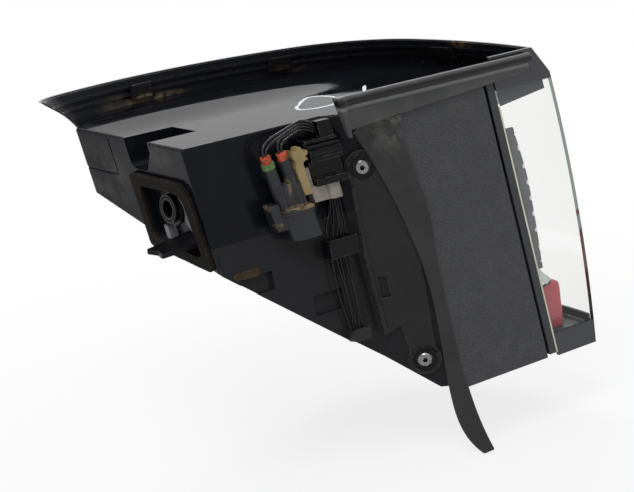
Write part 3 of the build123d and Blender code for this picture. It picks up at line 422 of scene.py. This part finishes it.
# black moulded shell and what is moulded like it
shellLooks = {
    "housing": {
        "colour": rgb(0.0050, 0.0053, 0.0074), "rough": (0.16, 0.24), "topGloss": 0.15, "specular": 0.08,
        "round": 1.0, "grainDepth": 0.002, "crown": 11, "crownSpan": (35, 195),
        "stainsAndPaintedLight": [
            stainAndPaintedLight(0.75, rgb(0.019, 0.019, 0.020), below=-31, rough=0.12),
            stainAndPaintedLight(0.7, grey(0.006), at=(-14, -25, -28), reach=(46, 34, 6), rough=0.4),
            stainAndPaintedLight(0.95, rgb(0.24, 0.24, 0.245), at=(9, -24, 0), reach=(12, 15, 26), soft=0.25),
            stainAndPaintedLight(0.6, rgb(0.20, 0.20, 0.205), at=(10, -6, 20), reach=(12, 26, 8), broken=90),
            stainAndPaintedLight(0.9, rgb(0.062, 0.063, 0.066), at=(330, -104, -90), reach=(240, 1.2, 420), soft=0.6),
            stainAndPaintedLight(0.75, rgb(0.26, 0.26, 0.27), at=(9, 13, -26), reach=(12, 7, 13), soft=0.4),
            stainAndPaintedLight(0.18, greyDust, at=(0, 108, 30), reach=(20, 70, 50), broken=24),
            stainAndPaintedLight(0.16, greyDust, at=(-6, 0, 58), reach=(14, 50, 22), broken=40),
        ],
    },
    "wing_frame": {
        "colour": rgb(0.0125, 0.0130, 0.0158), "rough": (0.24, 0.36), "wearAndGlint": 0.5, "wearAndGlintColour": grey(0.05),
        "stainsAndPaintedLight": [
            stainAndPaintedLight(0.55, tanDirt, at=(104, 190, 68), reach=(58, 16, 6), broken=110),
            stainAndPaintedLight(0.5, rgb(0.12, 0.09, 0.06), at=(70, 188, 70), reach=(40, 16, 12), broken=60),
            stainAndPaintedLight(0.10, tanDirt, at=(268, 168, 72), reach=(34, 16, 9), broken=110),
            stainAndPaintedLight(0.8, tanDirt, at=(371, 0, 92), reach=(14, 22, 7), broken=150),
        ],
    },
    "retaining_clips": {
        "colour": grey(0.009), "rough": (0.3, 0.45), "specular": 0.25, "round": 1.0,
        "wearAndGlint": 0.3, "wearAndGlintColour": rgb(0.07, 0.06, 0.05),
        "stainsAndPaintedLight": [
            stainAndPaintedLight(0.5, tanDirt, at=(96, 182, 72), reach=(14, 16, 5), broken=120),
            stainAndPaintedLight(0.1, tanDirt, at=(258, 163, 73), reach=(14, 16, 6), broken=160),
        ],
    },
    "bracket": {
        "colour": rgb(0.009, 0.009, 0.010), "rough": (0.36, 0.5), "specular": 0.22, "round": 1.2,
        "grainScale": 1400, "grainDepth": 0.05, "wearAndGlint": 0.25,
        "dust": 0.25, "dustFrom": 0.55, "dustColour": greyDust,
    },
    "screw_collars": {
        # the pale lines on the collars' ring edges are a painted glint
        "colour": grey(0.004), "rough": (0.12, 0.22), "specular": 0.12, "round": 1.0, "wearAndGlint": 0.5,
    },
    "wire_strap": {
        "colour": rgb(0.005, 0.005, 0.006), "rough": (0.3, 0.45), "specular": 0.13, "round": 1.0,
        "wearAndGlint": 0.3,
    },
    "driver_module": {
        "colour": rgb(0.0035, 0.0035, 0.004), "rough": (0.10, 0.18), "specular": 0.12, "round": 1.0,
        # the pale lines along the module's edges are a painted glint
        "wearAndGlint": 0.6, "wearWidth": 0.8, "wearAndGlintColour": rgb(0.24, 0.235, 0.225),
    },
    "locator_socket": {
        "colour": rgb(0.0045, 0.0045, 0.005), "rough": (0.2, 0.34), "specular": 0.14, "round": 0.8,
        "wearAndGlint": 0.15, "wearAndGlintColour": grey(0.10),
    },
}
dressAll(shellLooks, mould, "Plastic")
print("shell dressed")

# jamb side: grained panel and the rubber round it, with the foam, the grommet and the leads
jambLooks = {
    "jamb_panel": {
        "colour": rgb(0.040, 0.041, 0.0455), "colourTwo": rgb(0.048, 0.049, 0.054), "rough": (0.40, 0.52),
        "specular": 0.40, "round": 1.0, "dust": 0.12,
        "pitColour": rgb(0.022, 0.0225, 0.025), "grainScale": 420, "grainDepth": 0.5,
    },
    "jamb_top_seal": {
        "colour": rgb(0.044, 0.0445, 0.044), "colourTwo": rgb(0.066, 0.0665, 0.065), "rough": (0.28, 0.38),
        "specular": 0.2, "grainScale": 1600, "grainDepth": 0.04, "sag": 0.5, "sagScale": 26,
        "dust": 0.35, "dustFrom": 0.46, "dustColour": rgb(0.13, 0.125, 0.11),
        "stainsAndPaintedLight": [
            # painted light along the strip's bead: painted shade on its front, a painted highlight line
            # below it and a painted highlight along its top
            stainAndPaintedLight(0.9, rgb(0.004, 0.004, 0.0045), at=(240, -113, 85), reach=(900, 9, 4.4), rough=0),
            stainAndPaintedLight(0.9, grey(0.16), at=(240, -110, 79), reach=(900, 9, 2.6), rough=0),
            stainAndPaintedLight(0.6, rgb(0.19, 0.19, 0.185), at=(240, -110, 93), reach=(900, 9, 3.4), rough=0),
        ],
    },
    "jamb_side_seal": {
        "colour": rgb(0.015, 0.015, 0.016), "colourTwo": grey(0.022), "rough": (0.42, 0.56),
        "grainScale": 1500, "grainDepth": 0.05, "sag": 0.9, "sagScale": 22,
        "dust": 0.5, "dustScale": 26, "dustFrom": 0.55, "dustColour": rgb(0.11, 0.105, 0.095),
        # pale lines along the flap's soft edges are a painted highlight
        "ridgeHighlight": 0.8, "ridgeHighlightSpan": (0.53, 0.60), "ridgeHighlightColour": rgb(0.11, 0.11, 0.105),
        "stainsAndPaintedLight": [
            stainAndPaintedLight(0.85, rgb(0.080, 0.078, 0.072), at=(172, -104, 46), reach=(46, 26, 40), soft=0.8,
                  broken=130),
            stainAndPaintedLight(0.7, rgb(0.15, 0.138, 0.115), at=(190, -104, 60), reach=(30, 22, 7), broken=180),
        ],
    },
    "foam_seal": {
        "colour": rgb(0.004, 0.0036, 0.0033), "colourTwo": rgb(0.010, 0.0086, 0.0072), "cloudScale": 60,
        "rough": (0.85, 0.98), "specular": 0.15, "grainScale": 700, "grainDepth": 0.6,
        # the tan rim along the foam's edges is a painted highlight, broken up by rubbing
        "wearAndGlint": 0.9, "wearWidth": 2.5, "wearAndGlintColour": rgb(0.060, 0.045, 0.032),
    },
    "wire_grommet": {"colour": rgb(0.009, 0.009, 0.010), "rough": (0.5, 0.65)},
    "upper_wires": {"colour": rgb(0.005, 0.005, 0.0055), "rough": (0.22, 0.34), "specular": 0.4},
    "lower_wires": {
        "colour": rgb(0.004, 0.004, 0.0045), "rough": (0.2, 0.32), "specular": 0.22, "dust": 0.05,
    },
}
dressAll(jambLooks, mould, "Finish")
print("jamb and seals dressed")

# plugs and their seals, with the vent and the weld
plugLooks = {
    "harness_plug": {
        "colour": rgb(0.010, 0.0105, 0.0125), "colourTwo": rgb(0.017, 0.0175, 0.0205), "rough": (0.36, 0.5),
        "round": 0.8, "grainScale": 1500, "grainDepth": 0.04, "dust": 0.3,
        "wearAndGlint": 0.4, "wearAndGlintColour": rgb(0.10, 0.10, 0.11),
        "stainsAndPaintedLight": [
            stainAndPaintedLight(0.7, rgb(0.22, 0.16, 0.10), at=(86, -73, 12), reach=(4, 10, 14), broken=200),
            stainAndPaintedLight(0.7, tanDirt, at=(92, -78, -8), reach=(26, 14, 2.5), broken=150),
        ],
    },
    "plug_socket": {
        "colour": rgb(0.012, 0.0125, 0.014), "rough": (0.34, 0.48), "round": 1.2,
        "wearAndGlint": 0.4, "wearAndGlintColour": rgb(0.09, 0.09, 0.095),
        "stainsAndPaintedLight": [
            stainAndPaintedLight(0.95, rgb(0.40, 0.28, 0.17), at=(98, -78, -9), reach=(26, 12, 2.5), broken=110,
                  brokenFrom=0.3),
            stainAndPaintedLight(0.5, tanDirt, at=(60, -75, -2), reach=(5, 10, 6), broken=260),
            stainAndPaintedLight(0.5, tanDirt, at=(69, -79, -21), reach=(7, 8, 3), broken=260),
        ],
    },
    "wire_seals": {
        "colour": rgb(0.42, 0.055, 0.022), "colourTwo": rgb(0.60, 0.11, 0.045), "rough": (0.4, 0.55),
        "stainsAndPaintedLight": [stainAndPaintedLight(0.75, rgb(0.06, 0.03, 0.018), at=(75, -76, 41), reach=(40, 30, 20), broken=240)],
    },
    "green_seal": {
        "colour": rgb(0.060, 0.14, 0.040), "colourTwo": rgb(0.13, 0.25, 0.09), "rough": (0.45, 0.6),
        "stainsAndPaintedLight": [stainAndPaintedLight(0.6, rgb(0.05, 0.04, 0.025), at=(66, -76, 36), reach=(20, 30, 12), broken=240)],
    },
    "plug_lock": {
        "colour": rgb(0.19, 0.13, 0.055), "colourTwo": rgb(0.30, 0.23, 0.11), "rough": (0.4, 0.55),
        "round": 0.8, "wearAndGlint": 0.4, "wearAndGlintColour": rgb(0.10, 0.075, 0.045),
        "dust": 0.7, "dustFrom": 0.42, "dustScale": 90, "dustColour": rgb(0.13, 0.09, 0.05),
    },
    "module_plug": {
        "colour": rgb(0.19, 0.17, 0.148), "colourTwo": rgb(0.29, 0.262, 0.23), "rough": (0.42, 0.56),
        "round": 1.0, "wearAndGlint": 0.4, "wearAndGlintColour": rgb(0.11, 0.09, 0.07),
        "dust": 0.6, "dustFrom": 0.44, "dustScale": 80, "dustColour": rgb(0.12, 0.10, 0.085),
    },
    "vent_filter": {
        "colour": rgb(0.030, 0.021, 0.014), "colourTwo": rgb(0.060, 0.041, 0.026), "cloudScale": 120,
        "rough": (0.8, 0.95), "specular": 0.15, "grainScale": 1100, "grainDepth": 0.3,
    },
    "weld_bead": {
        "colour": rgb(0.52, 0.49, 0.41), "colourTwo": rgb(0.68, 0.65, 0.56), "rough": (0.35, 0.55),
    },
}
dressAll(plugLooks, mould, "Finish")
print("plugs dressed")

# metal, with a fine speckle
commonMetal = {"detail": 4, "coarse": 0.6, "toneSpan": (0.3, 0.7), "roughSpan": (0.2, 0.8)}
metalLooks = {
    "bracket_screws": {
        "colour": grey(0.11), "colourTwo": rgb(0.32, 0.32, 0.315), "rough": (0.26, 0.44),
        "scale": 700, "depth": 0.03, "recessShade": grey(0.012),
        "recesses": [(171, -78.5, 12), (220.8, -85, -192.6)], "recessReach": 3.4, "recessSoft": 0.25,
    },
    "socket_terminals": {
        "colour": rgb(0.62, 0.58, 0.50), "colourTwo": rgb(0.75, 0.72, 0.66), "rough": (0.2, 0.4),
        "scale": 900, "depth": 0.01,
    },
    "chrome_trim": {
        "colour": rgb(0.78, 0.78, 0.79), "colourTwo": rgb(0.86, 0.86, 0.87), "rough": (0.10, 0.22),
        "scale": 300, "depth": 0.01,
    },
    "reflector": {
        "colour": rgb(0.80, 0.80, 0.82), "colourTwo": rgb(0.88, 0.88, 0.90), "rough": (0.06, 0.16),
        "scale": 200, "depth": 0.02,
    },
}


def metal(name, ownLook):
    look = {**commonMetal, **ownLook}
    finish = Finish(name)
    speckle = finish.noise(look["scale"], look["detail"], look["coarse"])
    tone = finish.blend(finish.spread(speckle, *look["toneSpan"]), look["colour"], look["colourTwo"])
    for place in look.get("recesses", []):  # painted shade in the drive recess
        inside = finish.near(place, [look["recessReach"]] * 3, look["recessSoft"])
        tone = finish.blend(inside, tone, look["recessShade"])
    finish.apply("Base Color", tone)
    finish.apply("Roughness", finish.spread(speckle, *look["roughSpan"], *look["rough"]))
    finish.apply("Normal", finish.bump(speckle, look["depth"]))
    finish.apply("Metallic", 1)
    return finish


dressAll(metalLooks, metal, "Metal")
print("metal dressed")

# lining and optics seen through the lens
stripBacking = {  # bright behind the edge strip's bites
    "from": (347.4, 18), "lean": 0.1737, "fade": 0.4, "colour": rgb(0.90, 0.90, 0.89),
    "within": [("Y", -97.2, -97.0, (1, 0)), ("Z", 18.5, 19, (1, 0)), ("Z", -135, -134.5, (0, 1))],
}
opticLooks = {
    "inner_bezel": {
        "colour": rgb(0.095, 0.097, 0.104), "colourTwo": rgb(0.112, 0.114, 0.121), "rough": (0.34, 0.48),
        "grainScale": 1200, "grainDepth": 0.05, "backing": stripBacking,
    },
    "red_lens_bar": {
        "colour": rgb(0.50, 0.085, 0.098), "colourTwo": rgb(0.56, 0.11, 0.125), "rough": (0.10, 0.2),
        "specular": 0.5, "grainScale": 260, "grainDepth": 0.1,
    },
    "led_board": {"colour": rgb(0.012, 0.075, 0.032), "rough": (0.25, 0.4)},
    "led_emitters": {"colour": rgb(0.75, 0.68, 0.30), "rough": (0.2, 0.35)},
}
dressAll(opticLooks, mould, "Finish")


def addPiece(name, mesh, finish):
    # a piece of the scene's own
    mesh.materials.append(finish.mat)
    piece = bpy.data.objects.new(name, mesh)
    scene.collection.objects.link(piece)
    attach(piece, "root")
    return piece


def meshFrom(name, verts, faces):
    mesh = bpy.data.meshes.new(name)
    mesh.from_pydata(verts, [], faces)
    mesh.validate()
    mesh.update()
    return mesh


# grey facing of the lining's edge strip, with small bites along its free edge
facingLook = {
    "edge": [(346.6, 18), (360.6, -32.7), (367.9, -83.3), (373.2, -134)],  # x and z along the free edge
    "inner": [(333, 18), (364, -134)], "face": -97.3, "thick": 0.5, "steps": 180,
    "bites": 9, "biteRadius": 2.8,
    "colour": rgb(0.155, 0.158, 0.166), "colourTwo": rgb(0.18, 0.183, 0.19), "rough": (0.34, 0.48),
}


def edgePoint(points, share):
    # smooth line through the points, even in z
    last = len(points) - 1
    start = min(int(share * last), last - 1)
    t = share * last - start
    steps = [max(0, min(last, start + step)) for step in (-1, 0, 1, 2)]
    before, here, after, beyond = (Vector(points[step]) for step in steps)
    slope = after - before
    square = 2 * before - 5 * here + 4 * after - beyond
    cube = 3 * here - before - 3 * after + beyond
    return 0.5 * (2 * here + slope * t + square * t ** 2 + cube * t ** 3)


def stripFacing(look):
    outline = []
    radius = look["biteRadius"]
    middles = [edgePoint(look["edge"], (count + 0.5) / look["bites"]) for count in range(look["bites"])]
    for step in range(look["steps"] + 1):
        x, z = edgePoint(look["edge"], step / look["steps"])
        for middle in middles:
            drop = z - middle[1]
            if abs(drop) < radius:
                x = min(x, middle[0] - math.sqrt(radius ** 2 - drop ** 2))
        outline.append((x, z))
    outline += reversed(look["inner"])
    total = len(outline)
    levels = (look["face"] - look["thick"], look["face"])
    verts = [(x * mm, level * mm, z * mm) for level in levels for x, z in outline]
    faces = [tuple(range(total)), tuple(reversed(range(total, 2 * total)))]
    for count in range(total):
        after = (count + 1) % total
        faces.append((count, total + count, total + after, after))
    mesh = meshFrom("strip_facing", verts, faces)
    facing = addPiece("strip_facing", mesh, mould("stripFacingGrey", look))


stripFacing(facingLook)

# flared bright neck between the edge strip and the red bar
neckLook = {
    "rings": [  # z, x from, x to, half depth
        (-130, 372.5, 374.5, 1.2), (-136, 371, 378, 3), (-142, 369, 383, 5), (-147, 367, 389, 7),
        (-151, 365, 395, 9), (-154, 363, 399, 11), (-157.5, 361, 400, 12),
    ],
    "front": -88.5, "around": 28,
    "colour": rgb(0.66, 0.66, 0.68), "colourTwo": rgb(0.84, 0.84, 0.86), "rough": (0.12, 0.26),
    "scale": 180, "depth": 0.01,
}


def brightNeck(look):
    verts, faces = [], []
    around = look["around"]
    for z, low, high, deep in look["rings"]:
        for count in range(around):
            turn = 2 * math.pi * count / around
            x = (low + high) / 2 + (high - low) / 2 * math.cos(turn)
            y = look["front"] + deep + deep * math.sin(turn)
            verts.append((x * mm, y * mm, z * mm))
    for ring in range(len(look["rings"]) - 1):
        for count in range(around):
            after = (count + 1) % around
            top, foot = ring * around, (ring + 1) * around
            faces.append((top + count, foot + count, foot + after, top + after))
    faces.append(tuple(range(around)))
    faces.append(tuple(reversed(range(len(verts) - around, len(verts)))))
    mesh = meshFrom("bright_neck", verts, faces)
    mesh.shade_smooth()
    neck = addPiece("bright_neck", mesh, metal("brightNeckMetal", look))


brightNeck(neckLook)
print("edge strip faced, neck set")

# clear mouldings that let lamps through, with faint waviness and handling marks
commonClear = {
    "ior": 1.49, "ribScale": 26, "ribDetail": 2, "ribDepth": 0.04,
    "hazeScale": 46, "hazeDetail": 7, "hazeCoarse": 0.7, "hazeSpan": (0.45, 0.85),
    "caughtAfter": 3.5, "caughtColour": rgb(0.62, 0.65, 0.63),  # bounces, for light held in a wall
}
clearLooks = {
    "light_guide": {"tint": rgb(0.95, 0.96, 0.97), "shade": grey(0.8), "rough": (0.15, 0.3)},
    "side_reflex": {
        "tint": rgb(0.75, 0.03, 0.04), "shade": rgb(0.6, 0.1, 0.1), "rough": (0.04, 0.12),
        "ribScale": 420, "ribDepth": 0.4,
    },
}


def clearPlastic(name, ownLook):
    look = {**commonClear, **ownLook}
    finish = Finish(name)
    haze = finish.noise(look["hazeScale"], look["hazeDetail"], look["hazeCoarse"])
    ribs = finish.noise(look["ribScale"], look["ribDetail"])
    finish.apply("Base Color", look["tint"])
    finish.apply("Transmission Weight", 1)
    finish.apply("IOR", look["ior"])
    finish.apply("Roughness", finish.spread(haze, *look["hazeSpan"], *look["rough"]))
    finish.apply("Normal", finish.bump(ribs, look["ribDepth"]))
    path = finish.add("ShaderNodeLightPath").outputs
    lighting = finish.combine("MAXIMUM", path["Is Shadow Ray"], path["Is Diffuse Ray"])
    through = finish.add("ShaderNodeBsdfTransparent", Color=look["shade"])
    lit = finish.blendShaders(lighting, finish.shader, through)
    late = finish.combine("GREATER_THAN", path["Ray Depth"], look["caughtAfter"])
    caught = finish.add("ShaderNodeBsdfTransparent", Color=look["caughtColour"])
    finish.show(finish.blendShaders(late, lit, caught))  # light caught in a wall gets out again, greyer
    return finish


dressAll(clearLooks, clearPlastic, "Clear")


def standIn(partName, suffix, mesh):
    # a smoother mesh in a solid's place and finish
    mesh.name = partName + suffix
    mesh.shade_smooth()
    mesh.materials.clear()
    mesh.materials.append(parts[partName].data.materials[0])
    piece = bpy.data.objects.new(partName + suffix, mesh)
    scene.collection.objects.link(piece)
    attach(piece, "root")
    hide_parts(partName)


# pieces with rounded corners, remade on the solids they stand for
softLooks = {
    "jamb_top_seal": {
        "voxel": 0.9, "passes": 14, "slot": "strip_rubber",
        "endLean": 0.34, "endTop": 90, "endFrom": (142, 128),  # x where the slant begins and is full
    },
    "jamb_side_seal": {"voxel": 0.85, "passes": 5, "slot": "flap_rubber"},
    "foam_seal": {"voxel": 0.8, "passes": 8, "slot": "foam"},
    "red_lens_bar": {"voxel": 1.6, "passes": 26, "slot": "bar_red"},
    "chrome_trim": {"voxel": 1.3, "passes": 14, "slot": "trim_chrome"},
}
easeShare = 0.5  # how far one smoothing pass goes


def slantEnd(mesh, look):
    # the strip's end slants back below its bead
    start, full = look["endFrom"]
    for vertex in mesh.vertices:
        share = min(1, max(0, (start * mm - vertex.co.x) / ((start - full) * mm)))
        vertex.co.x += share * look["endLean"] * max(0, look["endTop"] * mm - vertex.co.z)


def softCopy(partName, look):
    draft = bpy.data.objects.new(partName + "Draft", parts[partName].data.copy())
    scene.collection.objects.link(draft)
    if "endLean" in look:
        slantEnd(draft.data, look)
    skin = draft.modifiers.new("skin", "REMESH")
    skin.mode = "VOXEL"
    skin.voxel_size = look["voxel"] * mm
    ease = draft.modifiers.new("ease", "SMOOTH")
    ease.iterations = look["passes"]
    ease.factor = easeShare
    bpy.context.view_layer.update()
    mesh = bpy.data.meshes.new_from_object(draft.evaluated_get(bpy.context.evaluated_depsgraph_get()))
    bpy.data.objects.remove(draft)
    standIn(partName, "Soft", mesh)
    print("softened", partName, len(mesh.polygons))


for softName, softLook in softLooks.items():
    softCopy(softName, softLook)

# clear lens, masked black above its window, below its sill and at the wing's tip
lensLook = {
    "tint": rgb(0.958, 0.959, 0.955), "shade": rgb(0.93, 0.93, 0.925), "rough": (0.0, 0.03), "ior": 1.22,
    "maskColour": rgb(0.020, 0.021, 0.026), "maskRough": 0.12,
    "maskOver": 59.5, "maskUnder": -204.5, "maskTip": 85, "maskFade": 1,
}


def maskedLens(name, look):
    finish = clearPlastic(name, look)
    fade = look["maskFade"]
    over = finish.along("Z", look["maskOver"] - fade, look["maskOver"] + fade)
    under = finish.along("Z", look["maskUnder"] - fade, look["maskUnder"] + fade, 1, 0)
    tip = finish.along("X", look["maskTip"] - fade, look["maskTip"] + fade, 1, 0)
    masked = finish.combine("MAXIMUM", finish.combine("MAXIMUM", over, under), tip)
    black = finish.add("ShaderNodeBsdfPrincipled", Roughness=look["maskRough"])
    black.inputs["Base Color"].default_value = look["maskColour"]
    finish.show(finish.blendShaders(masked, finish.shown, black))
    return finish


dress("outer_lens", maskedLens("lensClear", lensLook))
print("optics dressed")


def lineMesh(name, routes, steps, thick=0, roundSteps=0):
    # smooth lines drawn by their routes' points, as tubes where they have a thickness
    curve = bpy.data.curves.new(name, "CURVE")
    curve.dimensions = "3D"
    curve.resolution_u = steps
    curve.bevel_depth = thick / 2 * mm
    curve.bevel_resolution = roundSteps
    curve.use_fill_caps = True
    for route in routes:
        spline = curve.splines.new("NURBS")
        spline.points.add(len(route) - 1)
        for point, place in zip(spline.points, route):
            point.co = (*(value * mm for value in place), 1)
        spline.order_u = 3
        spline.use_endpoint_u = True
    line = bpy.data.objects.new(name, curve)
    mesh = bpy.data.meshes.new_from_object(line)
    bpy.data.objects.remove(line)
    bpy.data.curves.remove(curve)
    return mesh


# leads, each one smooth line along its route
leadForm = {"slot": "wire_black", "thick": 2.2, "steps": 10, "roundSteps": 3}
upperLook = {
    "starts": [(63.7, 44.6), (67.0, 45.5), (81.4, 44.6), (84.7, 45.5)],  # x and z on the seals' tops
    "side": -74, "rise": (12, 7), "lean": 0.28, "pitch": 2.9, "rake": 0.2,
    "bend": (97, -72, 66), "peak": (116, -67.5, 70), "end": (128.5, -66.5, 62),
}
lowerLook = {
    "count": 5, "start": (137.4, -68, -11), "startPitch": 2.8, "drop": 12,
    "bulge": (-9, -2, 1.5, -1, 3), "bulgeDrop": 25, "bulgeOut": 1,
    "strap": (131.2, -67.7, -49.2), "strapOut": (131.2, -70.7, -75.0), "strapPitch": 5,
    "sway": (-4, 3, -2, 4, -1), "swayPlace": (-74.5, -108),  # y and z
    "end": (139.8, -78.1, -141.0), "endPitch": 3.4,
}


def upperRoutes(look):
    routes = []
    for count, (x, z) in enumerate(look["starts"]):
        drop = count * look["pitch"]
        rise = look["rise"][count % 2]
        bend, peak, end = look["bend"], look["peak"], look["end"]
        routes.append([
            (x, look["side"], z), (x - look["lean"] * rise, look["side"], z + rise),
            (bend[0], bend[1], bend[2] - drop), (peak[0], peak[1], peak[2] - drop),
            (end[0] + look["rake"] * drop, end[1], end[2] - drop),
        ])
    return routes


def lowerRoutes(look):
    routes = []
    for count in range(look["count"]):
        x, y, z = look["start"]
        x += count * look["startPitch"]
        strapX = look["strap"][0] + count * look["strapPitch"]
        endX = look["end"][0] + count * look["endPitch"]
        routes.append([
            (x, y, z), (x, y, z - look["drop"]),
            (x + look["bulge"][count], y - look["bulgeOut"], z - look["bulgeDrop"]),
            (strapX, *look["strap"][1:]), (strapX, *look["strapOut"][1:]),
            ((strapX + endX) / 2 + look["sway"][count], *look["swayPlace"]), (endX, *look["end"][1:]),
        ])
    return routes


def leadBundle(partName, routes, look):
    tubes = lineMesh(partName + "Lines", routes, look["steps"], look["thick"], look["roundSteps"])
    standIn(partName, "Smooth", tubes)


leadBundle("upper_wires", upperRoutes(upperLook), leadForm)
leadBundle("lower_wires", lowerRoutes(lowerLook), leadForm)
print("leads run")

# white paint marks on the deck: a loop and a short dash
paintLook = {
    "colour": rgb(0.60, 0.64, 0.70), "colourTwo": rgb(0.76, 0.79, 0.83), "rough": (0.35, 0.5),
    "cloudScale": 120, "deckZ": 66.0, "thick": 0.12, "width": 3.6, "steps": 12,
    "tip": 0.35, "tipGain": 0.25, "topShare": 0.92,  # shares of the width: at an end, per step, on top
    "waver": 0.16, "waverPace": 1.7,
    "loop": [
        (161, 2), (188, 32), (205, 29), (211, 4), (192, -22), (174, -26), (156, -21), (150, -8), (163, 6),
    ],
    "dash": [(262, 25), (250, 12), (241, -2)],
}


def smoothLine(points, steps):
    mesh = lineMesh("paintLine", [[(x, y, 0) for x, y in points]], steps)
    places = [vertex.co.copy() for vertex in mesh.vertices]
    bpy.data.meshes.remove(mesh)
    return places


def paintStroke(name, look, finish):
    # flat ribbon along a line, rounded in at both ends, as thick as a coat of paint
    line = smoothLine(look[name], look["steps"])
    last = len(line) - 1
    verts, faces = [], []
    for count, place in enumerate(line):
        ahead = (line[min(count + 1, last)] - line[max(count - 1, 0)]).normalized()
        across = Vector((-ahead.y, ahead.x, 0))
        taper = min(1, look["tip"] + look["tipGain"] * min(count, last - count))
        waver = 1 + look["waver"] * math.sin(count * look["waverPace"])
        half = look["width"] / 2 * mm * taper * waver
        for side, level in ((-1, 0), (1, 0), (1, look["thick"]), (-1, look["thick"])):
            rim = half * look["topShare"] if level else half
            spot = place + across * side * rim
            verts.append((spot.x, spot.y, (look["deckZ"] + level) * mm))
        if count:
            old, new = 4 * (count - 1), 4 * count
            for corner in range(4):
                after = (corner + 1) % 4
                faces.append((old + corner, old + after, new + after, new + corner))
    faces.append((0, 3, 2, 1))
    faces.append(tuple(range(4 * last, 4 * last + 4)))
    addPiece("paint_" + name, meshFrom("paint_" + name, verts, faces), finish)


paintFinish = mould("markPaint", paintLook)
for strokeName in ("loop", "dash"):
    paintStroke(strokeName, paintLook, paintFinish)
print("paint marks laid")
